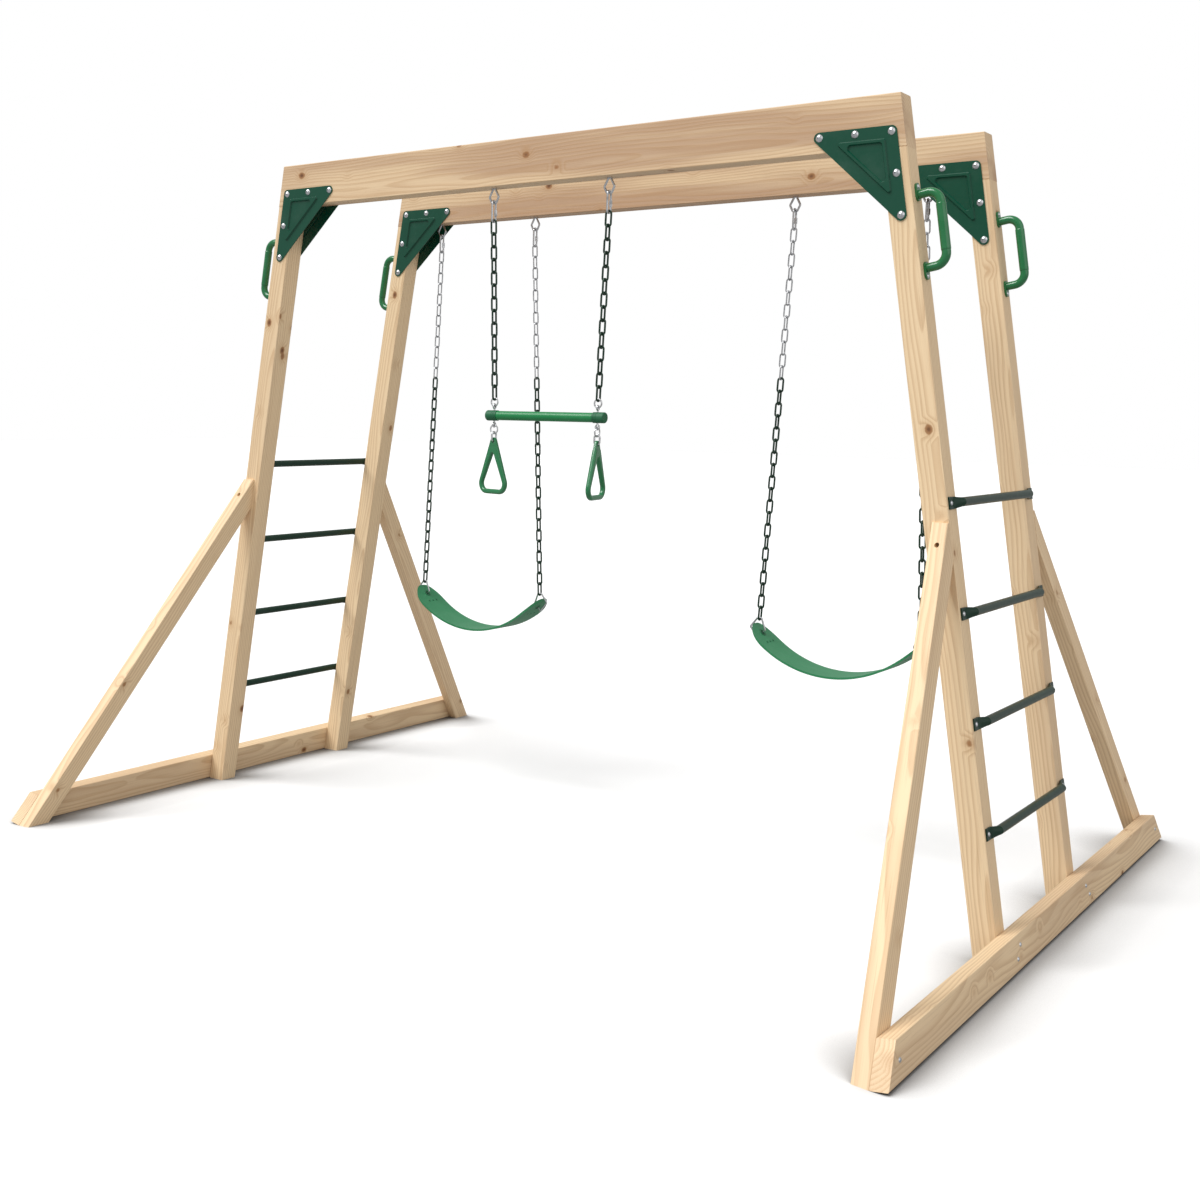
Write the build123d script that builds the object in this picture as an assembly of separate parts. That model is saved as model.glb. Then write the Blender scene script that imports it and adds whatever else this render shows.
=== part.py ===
from build123d import *
import math
import os

# A timber swing set, in millimetres. X runs along the beams, -Y is the front, Z is up from the floor,
# and the origin is on the floor under the middle of the frame.

# ---------------------------------------------------------------- driving dimensions
HEIGHT = 2300.0  # floor to the top of the beams
BEAM_SPAN = 2300.0  # a beam's underside, end to end
BEAM_DEPTH = 140.0  # a beam's height
TIMBER = 70.0  # the beams' thickness and both sides of a post
BEAM_SPACING = 660.0  # front beam to rear beam, centre to centre
LEAN = 10.0  # the end frames splay outwards going down, in degrees
BRACE_THICK = 45.0  # across the end frame's plane
BRACE_WIDTH = 70.0  # in the end frame's plane
BRACE_FOOT = 1250.0  # a brace's outer edge on the floor, from the middle
BRACE_TOP = 1195.0  # height where that edge would reach the post
BRACE_BLUNT = 14.0  # cut off the brace's sharp top
RAIL_THICK = 45.0
RAIL_DEPTH = 95.0
EDGE_ROUND = 3.0  # planed edges of the timber

RUNG_HEIGHTS = (359.0, 650.0, 941.0, 1232.0)
RUNG_LENGTH = 712.0
RUNG_RADIUS = 12.5
RUNG_AXIS = 14.0  # the tube's middle stands this far off the posts
RUNG_TAB_WIDTH = 34.0
RUNG_TAB_LENGTH = 30.0
RUNG_TAB_THICK = 4.0
RUNG_CRANK = 34.0  # length over which the tube flattens into its tab

PLATE_ROW = 42.0  # plate bolts above the beam's underside
PLATE_PITCH = 101.0  # between the bolts along the beam
PLATE_DROP = 109.0  # between the bolts down the post
PLATE_MARGIN = 15.0  # plate beyond its bolt centres
PLATE_THICK = 3.0
BEAD_INSET = 17.0  # the pressed bead's outside, inside the bolt centres
BEAD_WIDTH = 12.0
BEAD_RISE = 5.0
BEAD_DRAFT = 32.0  # slope of the bead's sides, in degrees
BEAD_ROUND = 7.0

BOLT_RADIUS = 4.0
DOME_RADIUS = 10.5
DOME_RISE = 5.5
SOCKET_RADIUS = 3.5  # a hexagonal socket, across its corners
SOCKET_DEPTH = 3.0
NUT_RADIUS = 7.5  # across the corners
NUT_HEIGHT = 7.0
SCREW_RADIUS = 3.0
SCREW_LENGTH = 45.0
RAIL_SCREW_LENGTH = 80.0
SCREW_HEAD_RADIUS = 6.5
SCREW_HEAD_RISE = 3.5
BORE_PLAY = 0.2  # a hole is this much larger in radius

HANDLE_TOP = 2068.0  # height of the upper end of a grab handle
HANDLE_LENGTH = 256.0
HANDLE_STANDOFF = 60.0  # face of the post to the middle of the grip
HANDLE_RADIUS = 12.0
HANDLE_BEND = 32.0
HANDLE_LEG = 31.0  # end of the foot to the middle of the leg
HANDLE_SCREW = 10.0  # end of the foot to its screw
PAD_WIDTH = 27.0
PAD_LENGTH = 48.0
PAD_THICK = 6.0

SWING_MIDDLE = 735.0  # a swing's middle, either side of the frame's middle
SWING_TOP_HALF = 220.0  # half the distance between its hangers
SWING_SEAT_HALF = 280.0  # half the distance between its lowest links
TRAPEZE_TOP_HALF = 217.0
TRAPEZE_PIN_HALF = 199.0  # half the distance between the pins in the bar

EYE_RADIUS = 3.5  # wire of an eye screw
EYE_DROP = 47.0  # underside of the beam to the middle of the eye's bottom wire
EYE_HALF = 18.0
EYE_SCREW = 60.0  # its length in the beam
EYE_COLLAR = 9.0
EYE_GAP = 1.0  # between the eye's two legs under the collar
EYE_FLAT_HALF = 8.0  # half the eye's level bottom
EYE_WAIST = 19.74  # height of its widest point above that bottom
EYE_BEND = 5.95
QUICK_RADIUS = 3.25  # wire of a quick link
QUICK_LENGTH = 66.0
QUICK_BEND = 9.5
SLEEVE_RADIUS = 5.5
SLEEVE_LENGTH = 18.0
LINK_PITCH = 40.5
LINK_BEND = 9.5
ZINC_RADIUS = 2.5  # wire of a bare link
COATED_RADIUS = 3.2  # wire and its plastic coat
LINK_PLAY = 0.3  # air between two links
ZINC_LINKS = 12
COATED_LINKS = 20
TRAPEZE_LINKS = 14

BELT_HALF = 295.0  # half the belt's span
BELT_RADIUS = 385.0  # the belt hangs in an arc
BELT_WIDTH = 140.0
BELT_THICK = 7.0
BELT_CORNER = 62.0
BELT_HOLE = 26.0  # from the belt's tip to its hole, along X
BELT_HOLE_RADIUS = 8.0
SHACKLE_RADIUS = 3.25  # wire of the triangle through the belt's hole
SHACKLE_RISE = 52.0  # from the hole to the wire that hangs in the chain
SHACKLE_BEND = 5.0
SHACKLE_TOP_HALF = 7.5  # half its level top
SHACKLE_OUT = 44.0  # from the hole out to the corner beyond the belt's tip
SHACKLE_UP = 20.0  # and that corner above the hole
SHACKLE_ABOVE = 16.0  # from the hole to the corners above and below it, along the hole
SHACKLE_BELOW = 22.0

BAR_RADIUS = 15.0
BAR_WALL = 2.0
BAR_HALF = 222.0
CAP_WALL = 2.0
CAP_LENGTH = 42.0
CAP_END = 5.0  # the cap's closed end, beyond the bar
CAP_EDGE = 4.0  # rounding of that end
GROOVE_COUNT = 3  # shallow grooves round the cap's open end
GROOVE_START = 6.0  # from the cap's open edge to the first
GROOVE_PITCH = 5.0
GROOVE_RADIUS = 1.0
GROOVE_OFF = 0.4  # a groove's middle stands this far off the cap
PIN_RADIUS = 3.0
PIN_BEND = 6.5  # middle radius of the eyes on a pin
PIN_NECK = 5.5  # the bar's surface to the eye's wire
UPPER_RING = 13.0  # middle radius of the ring over the bar
UPPER_RING_WIRE = 2.5
LOWER_RING = 14.0  # and of the ring under it
LOWER_RING_WIRE = 2.3
STRAP_LENGTH = 30.0
STRAP_BEND = 9.0
STRAP_RADIUS = 3.0

STIRRUP_HEIGHT = 185.0
STIRRUP_WIDTH = 130.0
STIRRUP_THICK = 16.0
STIRRUP_CORNER = 34.0  # outside radius of the lower corners
STIRRUP_CROWN = 13.0  # outside radius at the top
STIRRUP_GRIP = 16.0  # from the outside to the opening
STIRRUP_WEB = 58.0  # from the top to the opening
STIRRUP_ROUND = 6.5
STIRRUP_HOLE = 6.0
STIRRUP_TAB = 9.0  # thickness round the hole
STIRRUP_TAB_DROP = 15.0  # how far under the hole that thinner part ends
STIRRUP_TURNS = {"left": -12.0, "right": 99.0}  # how each one hangs turned about Z

# ---------------------------------------------------------------- worked out from them
LEAN_SIN = math.sin(math.radians(LEAN))
LEAN_COS = math.cos(math.radians(LEAN))
SLOPE = LEAN_SIN / LEAN_COS
UNDERSIDE = HEIGHT - BEAM_DEPTH
BEAM_Y = BEAM_SPACING / 2
FACE_Y = BEAM_Y + TIMBER / 2  # outer faces of the beams and posts
FOOT = -UNDERSIDE / LEAN_COS  # the floor, measured down the end face
RAKE_RUN = (BRACE_FOOT - FACE_Y) / (BRACE_TOP / LEAN_COS)
RAKE = math.degrees(math.atan(RAKE_RUN))
HINGE_Z = UNDERSIDE - EYE_DROP
QUICK_LOW = EYE_RADIUS + QUICK_RADIUS + LINK_PLAY - QUICK_LENGTH  # a quick link's bottom wire under its hinge
SWING_RUNS = [(ZINC_LINKS, ZINC_RADIUS), (COATED_LINKS, COATED_RADIUS)]
TRAPEZE_RUNS = [(TRAPEZE_LINKS, COATED_RADIUS)]
FAR = 6000.0  # longer than anything here
SIDES = {"left": -1, "right": 1}
ROWS = ("front", "rear")

# The right end frame's outer face: local X out of the face, local Y along the rail, local Z up the posts.
END_FACE = Plane(
    origin=(BEAM_SPAN / 2, 0, UNDERSIDE), x_dir=(LEAN_COS, 0, LEAN_SIN), z_dir=(-LEAN_SIN, 0, LEAN_COS)
)
HALF_SPACE = Box(FAR, FAR, FAR)
ABOVE_FLOOR = Pos(0, 0, FAR / 2) * HALF_SPACE


def up_the_face(height):
    """Local Z on the end face of a point at this height."""
    return (height - UNDERSIDE) / LEAN_COS


def on_end_face(shape):
    return END_FACE.location * shape


def to_side(shape, side):
    """Parts are drawn on the right; the left ones are their mirror image."""
    return shape if side == "right" else mirror(shape, about=Plane.YZ)


def to_row(shape, row):
    """Parts are drawn at the front; the rear ones are their mirror image."""
    return shape if row == "front" else mirror(shape, about=Plane.XZ)


def save(name, *shapes):
    solids = [solid for shape in shapes for solid in shape.solids()]
    export_step(Compound(solids), f"parts/{name}.step")


def rod(radius, length, axis):
    """A round bar centred on the origin along X, Y or Z."""
    turn = {"X": Rot(0, 90, 0), "Y": Rot(90, 0, 0), "Z": Rot(0, 0, 0)}[axis]
    return turn * Cylinder(radius, length)


def stadium(length, bend, radius):
    """A closed link of round wire in the XZ plane, with the top of its middle line at the origin."""
    leg_length = length - 2 * bend
    leg = Pos(bend, 0, -length / 2) * Cylinder(radius, leg_length)
    bow = Pos(0, 0, -bend) * (Rot(90, 0, 0) * Torus(bend, radius) & ABOVE_FLOOR)
    toe = mirror(bow, about=Plane.XY.offset(-length / 2))
    return leg + mirror(leg, about=Plane.YZ) + bow + toe


def dome(radius, rise):
    """A domed head standing up from the origin along Z."""
    ball = (radius**2 + rise**2) / (2 * rise)
    return Pos(0, 0, rise - ball) * Sphere(ball) & ABOVE_FLOOR


# ---------------------------------------------------------------- fasteners
def dome_bolt():
    """A bolt along +Y through two plates and the timber, its head's seat at the origin."""
    length = TIMBER + 2 * PLATE_THICK + NUT_HEIGHT
    socket = Pos(0, 0, DOME_RISE - SOCKET_DEPTH) * extrude(RegularPolygon(SOCKET_RADIUS, 6), DOME_RISE)
    head = Rot(90, 0, 0) * (dome(DOME_RADIUS, DOME_RISE) - socket)
    return head + Pos(0, length / 2, 0) * rod(BOLT_RADIUS, length, "Y")


def bolt_nut():
    """Its nut, seated on the rear plate."""
    body = Rot(90, 0, 0) * extrude(RegularPolygon(NUT_RADIUS, 6), -NUT_HEIGHT)
    return Pos(0, TIMBER + 2 * PLATE_THICK, 0) * (body - rod(BOLT_RADIUS + BORE_PLAY / 4, FAR, "Y"))


def face_screw(place, seat, length=SCREW_LENGTH):
    """A screw into the end face at local (y, z), its head standing on a part that is seat thick."""
    head = Rot(0, 90, 0) * dome(SCREW_HEAD_RADIUS, SCREW_HEAD_RISE)
    shank = Pos(-length / 2, 0, 0) * rod(SCREW_RADIUS, length, "X")
    return on_end_face(Pos(seat, *place) * (head + shank))


def face_bore(place, seat, length=SCREW_LENGTH):
    """The hole for such a screw, open outwards."""
    tip = seat - length - BORE_PLAY
    depth = 2 * RAIL_THICK - tip
    return on_end_face(Pos(tip + depth / 2, *place) * rod(SCREW_RADIUS + BORE_PLAY, depth, "X"))


def rung_screw_places():
    return [(-RUNG_LENGTH / 2 + RUNG_TAB_LENGTH / 2, up_the_face(height)) for height in RUNG_HEIGHTS]


def handle_screw_places():
    top = up_the_face(HANDLE_TOP)
    return [(-BEAM_Y, top - HANDLE_SCREW), (-BEAM_Y, top - HANDLE_LENGTH + HANDLE_SCREW)]


def rail_screw_places():
    """Two screws into each post, set on a slant, and one into the brace."""
    low = FOOT + RAIL_DEPTH / 3
    high = FOOT + RAIL_DEPTH * 2 / 3
    middle = FOOT + RAIL_DEPTH / 2
    brace_y = -BRACE_FOOT + RAIL_DEPTH / 2 * RAKE_RUN + BRACE_WIDTH / 2 / math.cos(math.radians(RAKE))
    return [(-BEAM_Y - TIMBER / 5, low), (-BEAM_Y + TIMBER / 5, high), (brace_y, middle)]


def brace_screw(play=0.0):
    """Along Y through the brace's top into the post, its head in a counterbore."""
    height = BRACE_TOP - BRACE_WIDTH
    depth = (BRACE_TOP - height) * RAKE_RUN / 2
    place = Pos(BEAM_SPAN / 2 + (UNDERSIDE - height) * SLOPE - BRACE_THICK / 2, -FACE_Y, height)
    shank = rod(SCREW_RADIUS + play, 2 * (depth + play), "Y")
    reach = Pos(0, SCREW_LENGTH / 2, 0) * rod(SCREW_RADIUS + play, SCREW_LENGTH + 2 * play, "Y")
    if play:
        return place * (shank + reach + Pos(0, -depth - FAR / 2, 0) * rod(SCREW_HEAD_RADIUS + play, FAR, "Y"))
    head = Pos(0, -depth, 0) * (Rot(90, 0, 0) * dome(SCREW_HEAD_RADIUS, SCREW_HEAD_RISE))
    return place * (shank + reach + head)


# ---------------------------------------------------------------- corner plates
def plate_bolt_places():
    """(x, z) of a right-hand plate's bolts: the corner, two along the beam, two down the post."""
    x = BEAM_SPAN / 2 - TIMBER / 2 / LEAN_COS - PLATE_ROW * SLOPE
    z = UNDERSIDE + PLATE_ROW
    along = [(x - step * PLATE_PITCH, z) for step in (1, 2)]
    down = [(x + step * PLATE_DROP * SLOPE, z - step * PLATE_DROP) for step in (1, 2)]
    return [(x, z), *along, *down]


def plate_bores(places):
    holes = [Pos(x, 0, z) * rod(BOLT_RADIUS + BORE_PLAY, FAR, "Y") for x, z in places]
    return Compound(holes)


def bolt_triangle(grow):
    """The triangle of bolts grown or shrunk all round."""
    corner, _, inner, _, lower = plate_bolt_places()
    kind = Kind.ARC if grow > 0 else Kind.INTERSECTION
    return offset(Polygon(corner, inner, lower, align=None), grow, kind=kind)


def pressed(inset, draft):
    """A rounded triangle as high as the bead, its sides sloping in, or out if draft is negative."""
    outline = bolt_triangle(-inset)
    return extrude(fillet(outline.vertices(), BEAD_ROUND), BEAD_RISE, taper=draft)


def corner_plate():
    """Right-hand plate lying on the plane y = 0, with a hollow bead pressed out towards -Y."""
    inside = BEAD_INSET + BEAD_WIDTH
    raised = Pos(0, 0, PLATE_THICK)
    bead = raised * (pressed(BEAD_INSET, BEAD_DRAFT) - pressed(inside, -BEAD_DRAFT))
    hollow = pressed(BEAD_INSET + PLATE_THICK, BEAD_DRAFT) - pressed(inside - PLATE_THICK, -BEAD_DRAFT)
    sheet = extrude(bolt_triangle(PLATE_MARGIN), PLATE_THICK) + bead - hollow
    return Rot(90, 0, 0) * sheet - plate_bores(plate_bolt_places())


# ---------------------------------------------------------------- timber
def board(x_size, y_size, z_size, along):
    """A planed board with its long edges rounded, centred on the origin."""
    block = Box(x_size, y_size, z_size)
    return fillet(block.edges().filter_by(along), EDGE_ROUND)


def beam(eye_places):
    """The front beam: ends cut at the end frames' lean, bored for its bolts and eye screws."""
    block = Pos(0, 0, HEIGHT - BEAM_DEPTH / 2) * board(FAR / 2, TIMBER, BEAM_DEPTH, Axis.X)
    top_half = BEAM_SPAN / 2 - BEAM_DEPTH * SLOPE
    low_half = BEAM_SPAN / 2
    corners = [(-low_half, UNDERSIDE), (low_half, UNDERSIDE), (top_half, HEIGHT), (-top_half, HEIGHT)]
    ends = Polygon(*corners, align=None)
    block &= Rot(90, 0, 0) * extrude(ends, TIMBER, both=True)
    block = Pos(0, -BEAM_Y, 0) * block
    bores = plate_bores(plate_bolt_places()[:3])
    block -= bores
    block -= mirror(bores, about=Plane.YZ)
    for x in eye_places:
        block -= Pos(x, -BEAM_Y, UNDERSIDE) * Cylinder(EYE_RADIUS + BORE_PLAY, 2 * (EYE_SCREW + BORE_PLAY))
    return block


def post():
    """The front right post, cut level on the floor and under the beam."""
    stick = on_end_face(Pos(-TIMBER / 2, -BEAM_Y, 0) * board(TIMBER, TIMBER, FAR, Axis.Z))
    stick &= Pos(0, 0, UNDERSIDE / 2) * Box(FAR, FAR, UNDERSIDE)
    stick -= plate_bores(plate_bolt_places()[3:])
    for place in rung_screw_places():
        stick -= face_bore(place, RUNG_TAB_THICK)
    for place in handle_screw_places():
        stick -= face_bore(place, PAD_THICK)
    for place in rail_screw_places()[:2]:
        stick -= face_bore(place, RAIL_THICK, RAIL_SCREW_LENGTH)
    return stick - brace_screw(BORE_PLAY)


def brace():
    """The front right brace, from the floor up to the post's front face."""
    stick = Pos(-BRACE_THICK / 2, BRACE_WIDTH / 2, 0) * board(BRACE_THICK, BRACE_WIDTH, FAR, Axis.Z)
    stick = Pos(0, -FACE_Y, up_the_face(BRACE_TOP)) * (Rot(-RAKE, 0, 0) * stick)
    stick = on_end_face(stick)
    top = BRACE_TOP - BRACE_BLUNT
    stick &= Pos(0, -FACE_Y - FAR / 2, top / 2) * Box(FAR, FAR, top)
    return stick - face_bore(rail_screw_places()[2], RAIL_THICK, RAIL_SCREW_LENGTH) - brace_screw(BORE_PLAY)


def base_rail():
    """The right rail, on the outer side of posts and braces, its ends cut along the braces."""
    half = BRACE_FOOT
    top_half = half - RAIL_DEPTH * RAKE_RUN
    top = FOOT + RAIL_DEPTH
    ends = Polygon((-half, FOOT), (half, FOOT), (top_half, top), (-top_half, top), align=None)
    rail = Pos(RAIL_THICK / 2, 0, FOOT + RAIL_DEPTH / 2) * board(RAIL_THICK, FAR, RAIL_DEPTH, Axis.Y)
    rail &= Plane.YZ * extrude(ends, RAIL_THICK)
    rail = on_end_face(rail)
    for place in rail_screw_places():
        hole = face_bore(place, RAIL_THICK, RAIL_SCREW_LENGTH)
        rail = rail - hole - mirror(hole, about=Plane.XZ)
    return rail


# ---------------------------------------------------------------- ladder rungs and grab handles
def rung(height):
    """A right-hand rung: a tube along Y, its ends flattened into tabs on the posts' outer faces."""
    tube_half = RUNG_LENGTH / 2 - RUNG_TAB_LENGTH - RUNG_CRANK
    tab_start = RUNG_LENGTH / 2 - RUNG_TAB_LENGTH
    tube = Pos(RUNG_AXIS, 0, 0) * rod(RUNG_RADIUS, 2 * tube_half, "Y")
    round_plane = Plane(origin=(RUNG_AXIS, tube_half, 0), x_dir=(1, 0, 0), z_dir=(0, 1, 0))
    round_end = round_plane * Circle(RUNG_RADIUS)
    flat_plane = Plane(origin=(RUNG_TAB_THICK / 2, tab_start, 0), x_dir=(1, 0, 0), z_dir=(0, 1, 0))
    flat_end = flat_plane * SlotOverall(RUNG_TAB_WIDTH, RUNG_TAB_THICK, rotation=90)
    crank = loft([round_end, flat_end])
    tab = flat_plane * extrude(SlotOverall(RUNG_TAB_WIDTH, RUNG_TAB_THICK, rotation=90), RUNG_TAB_LENGTH)
    arm = crank + tab
    whole = tube + arm + mirror(arm, about=Plane.XZ)
    placed = on_end_face(Pos(0, 0, up_the_face(height)) * whole)
    hole = face_bore((-RUNG_LENGTH / 2 + RUNG_TAB_LENGTH / 2, up_the_face(height)), RUNG_TAB_THICK)
    return placed - hole - mirror(hole, about=Plane.XZ)


def grab_handle():
    """The front right handle, on the post's outer face."""
    top = up_the_face(HANDLE_TOP)
    upper = top - HANDLE_LEG
    lower = top - HANDLE_LENGTH + HANDLE_LEG
    seat = PAD_THICK / 2
    path = FilletPolyline(
        (seat, -BEAM_Y, upper), (HANDLE_STANDOFF, -BEAM_Y, upper),
        (HANDLE_STANDOFF, -BEAM_Y, lower), (seat, -BEAM_Y, lower), radius=HANDLE_BEND,
    )
    grip = sweep(Plane(origin=path @ 0, z_dir=path % 0) * Circle(HANDLE_RADIUS), path=path)
    foot = Plane.YZ * extrude(SlotOverall(PAD_LENGTH, PAD_WIDTH, rotation=90), PAD_THICK)
    feet = [Pos(0, -BEAM_Y, middle) * foot for middle in
            (top - PAD_LENGTH / 2, top - HANDLE_LENGTH + PAD_LENGTH / 2)]
    handle = on_end_face(grip + feet)
    for place in handle_screw_places():
        handle -= face_bore(place, PAD_THICK)
    return handle


# ---------------------------------------------------------------- chains and what they hang from
def eye_screw():
    """A pear-shaped eye in the XZ plane: the middle of its bottom wire is at the origin."""
    neck = EYE_DROP - EYE_RADIUS / 2
    leg = EYE_RADIUS + EYE_GAP / 2
    corners = [(-leg, 0, neck), (-EYE_HALF, 0, EYE_WAIST), (-EYE_FLAT_HALF, 0, 0)]
    path = FilletPolyline(*corners, *[(-x, y, z) for x, y, z in reversed(corners)], radius=EYE_BEND)
    loop = sweep(Plane(origin=path @ 0, z_dir=path % 0) * Circle(EYE_RADIUS), path=path)
    collar = Pos(0, 0, EYE_DROP - EYE_RADIUS / 2) * Cylinder(EYE_COLLAR, EYE_RADIUS)
    shank = Pos(0, 0, EYE_DROP + EYE_SCREW / 2) * Cylinder(EYE_RADIUS, EYE_SCREW)
    return loop + collar + shank


def quick_link():
    """A closed link in the YZ plane with a hexagonal sleeve, its hinge axis through the origin."""
    upright = Rot(0, 0, 90) * stadium(QUICK_LENGTH, QUICK_BEND, QUICK_RADIUS)
    link = Pos(0, 0, EYE_RADIUS + QUICK_RADIUS + LINK_PLAY) * upright
    sleeve = extrude(RegularPolygon(SLEEVE_RADIUS, 6), SLEEVE_LENGTH / 2, both=True)
    sleeve -= Cylinder(QUICK_RADIUS + BORE_PLAY / 4, FAR)
    return link, Pos(0, QUICK_BEND, -QUICK_LENGTH / 2 + QUICK_RADIUS) * sleeve


def chain(runs):
    """Links straight down from a quick link, whose bottom wire is at the origin.

    Each run is (count, wire radius). Gives one list of links per run and the last link's bottom wire.
    """
    lists = []
    above = QUICK_RADIUS
    low = 0.0
    made = 0
    for count, radius in runs:
        length = LINK_PITCH + 2 * radius + LINK_PLAY
        link = stadium(length, LINK_BEND, radius)
        links = []
        for _ in range(count):
            top = low + above + radius + LINK_PLAY
            turn = 0 if made % 2 == 0 else 90
            links.append(Pos(0, 0, top) * (Rot(0, 0, turn) * link))
            low = top - length
            above = radius
            made += 1
        lists.append(links)
    return lists, low


def hang(shapes, sign, half, lean):
    """A chain moved under its eye on the left (-1) or right (1), leaning outwards by degrees going down."""
    place = Pos(sign * half, 0, HINGE_Z + QUICK_LOW) * Rot(0, -sign * lean, 0)
    return [place * shape for shape in shapes]


def swing_hangers(top_half, runs, low_half):
    """Both quick links, both chains' runs and the height of their last wires, about the swing's middle."""
    links, low = chain(runs)
    lean = math.degrees(math.asin((low_half - top_half) / -low))
    quicks = [Pos(sign * top_half, 0, HINGE_Z) * shape for sign in (-1, 1) for shape in quick_link()]
    hung = [[link for sign in (-1, 1) for link in hang(run, sign, top_half, lean)] for run in links]
    return quicks, hung, HINGE_Z + QUICK_LOW + low * math.cos(math.radians(lean))


# ---------------------------------------------------------------- belt seat
def belt_point(x, off=0.0):
    """(x, z) on the belt's middle line, off along its normal, from the belt's lowest point."""
    angle = math.asin(x / BELT_RADIUS)
    return (x - off * math.sin(angle), BELT_RADIUS - (BELT_RADIUS - off) * math.cos(angle))


def belt():
    """A flexible belt hanging in an arc between its two holes, its lowest middle point at the origin."""
    outer = rod(BELT_RADIUS + BELT_THICK / 2, BELT_WIDTH, "Y")
    band = Pos(0, 0, BELT_RADIUS) * (outer - rod(BELT_RADIUS - BELT_THICK / 2, FAR, "Y"))
    outline = extrude(RectangleRounded(2 * BELT_HALF, BELT_WIDTH, BELT_CORNER), BELT_RADIUS * 0.6)
    strip = band & (Pos(0, 0, -BELT_THICK) * outline)
    hole_x = BELT_HALF - BELT_HOLE
    tilt = math.degrees(math.asin(hole_x / BELT_RADIUS))
    x, z = belt_point(hole_x)
    for sign in (-1, 1):
        strip -= Pos(sign * x, 0, z) * (Rot(0, -sign * tilt, 0) * Cylinder(BELT_HOLE_RADIUS, 6 * BELT_THICK))
    return strip


def shackle():
    """The triangle in the right-hand hole: its top wire is at the origin and runs along X."""
    hole_x = BELT_HALF - BELT_HOLE
    angle = math.asin(hole_x / BELT_RADIUS)
    inward = (-math.sin(angle), math.cos(angle))
    hole = (hole_x - SWING_SEAT_HALF, -SHACKLE_RISE)
    above = (hole[0] + SHACKLE_ABOVE * inward[0], hole[1] + SHACKLE_ABOVE * inward[1])
    below = (hole[0] - SHACKLE_BELOW * inward[0], hole[1] - SHACKLE_BELOW * inward[1])
    outside = (hole[0] + SHACKLE_OUT, hole[1] + SHACKLE_UP)
    corners = [(-SHACKLE_TOP_HALF, 0), (SHACKLE_TOP_HALF, 0), outside, below, above]
    path = FilletPolyline(*[(x, 0, z) for x, z in corners], radius=SHACKLE_BEND, close=True)
    return sweep(Plane(origin=path @ 0, z_dir=path % 0) * Circle(SHACKLE_RADIUS), path=path)


# ---------------------------------------------------------------- trapeze
def pin(turned):
    """An upright pin through the bar at the origin, an eye at each end; the lower one may be turned."""
    ring = Rot(90, 0, 0) * Torus(PIN_BEND, PIN_RADIUS)
    reach = BAR_RADIUS + PIN_NECK + PIN_RADIUS + PIN_BEND
    upper = Pos(0, 0, reach) * (Rot(0, 0, 90) * ring)
    lower = Pos(0, 0, -reach) * (Rot(0, 0, 90 if turned else 0) * ring)
    return Cylinder(PIN_RADIUS, 2 * (reach - PIN_BEND)) + upper + lower


def bar_tube():
    tube = rod(BAR_RADIUS, 2 * BAR_HALF, "X") - rod(BAR_RADIUS - BAR_WALL, FAR, "X")
    for sign in (-1, 1):
        tube -= Pos(sign * TRAPEZE_PIN_HALF, 0, 0) * Cylinder(PIN_RADIUS + BORE_PLAY, FAR)
    return tube


def bar_cap():
    """The right-hand cap: a cup over the end of the bar, with shallow grooves round it."""
    inner = BAR_RADIUS + BORE_PLAY / 4
    outer = BAR_RADIUS + CAP_WALL
    start = BAR_HALF + CAP_END - CAP_LENGTH
    cup = Pos(start + CAP_LENGTH / 2, 0, 0) * rod(outer, CAP_LENGTH, "X")
    cup = fillet(cup.edges().group_by(Axis.X)[-1], CAP_EDGE)
    cup -= Pos(start + (CAP_LENGTH - CAP_END) / 2, 0, 0) * rod(inner, CAP_LENGTH - CAP_END, "X")
    groove = Rot(0, 90, 0) * Torus(outer + GROOVE_OFF, GROOVE_RADIUS)
    for step in range(GROOVE_COUNT):
        cup -= Pos(start + GROOVE_START + GROOVE_PITCH * step, 0, 0) * groove
    return cup - Pos(TRAPEZE_PIN_HALF, 0, 0) * Cylinder(PIN_RADIUS + BORE_PLAY, FAR)


def stirrup():
    """A pear-shaped hand ring in the XZ plane, the middle of its top hole at the origin."""
    low = STIRRUP_CROWN - STIRRUP_HEIGHT
    half = STIRRUP_WIDTH / 2 - STIRRUP_CORNER
    inner_corner = STIRRUP_CORNER - STIRRUP_GRIP
    corners = [(-half, low + STIRRUP_CORNER), (half, low + STIRRUP_CORNER)]
    outside = make_hull([Pos(x, z) * Circle(STIRRUP_CORNER).edge() for x, z in corners]
                        + [Circle(STIRRUP_CROWN).edge()])
    web = STIRRUP_CROWN - STIRRUP_WEB
    opening = make_hull([Pos(x, z) * Circle(inner_corner).edge() for x, z in corners]
                        + [Pos(0, web) * Circle(inner_corner / 3).edge()])
    ring = extrude(outside - opening, STIRRUP_THICK / 2, both=True)
    rims = ring.faces().sort_by(Axis.Z)
    ring = fillet(rims[0].edges() + rims[-1].edges(), STIRRUP_ROUND)
    ring = Rot(90, 0, 0) * ring
    for sign in (-1, 1):
        ring -= Pos(0, sign * (STIRRUP_TAB + FAR) / 2, 0) * Box(FAR, FAR, 2 * STIRRUP_TAB_DROP)
    return ring - rod(STIRRUP_HOLE, FAR, "Y")


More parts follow.
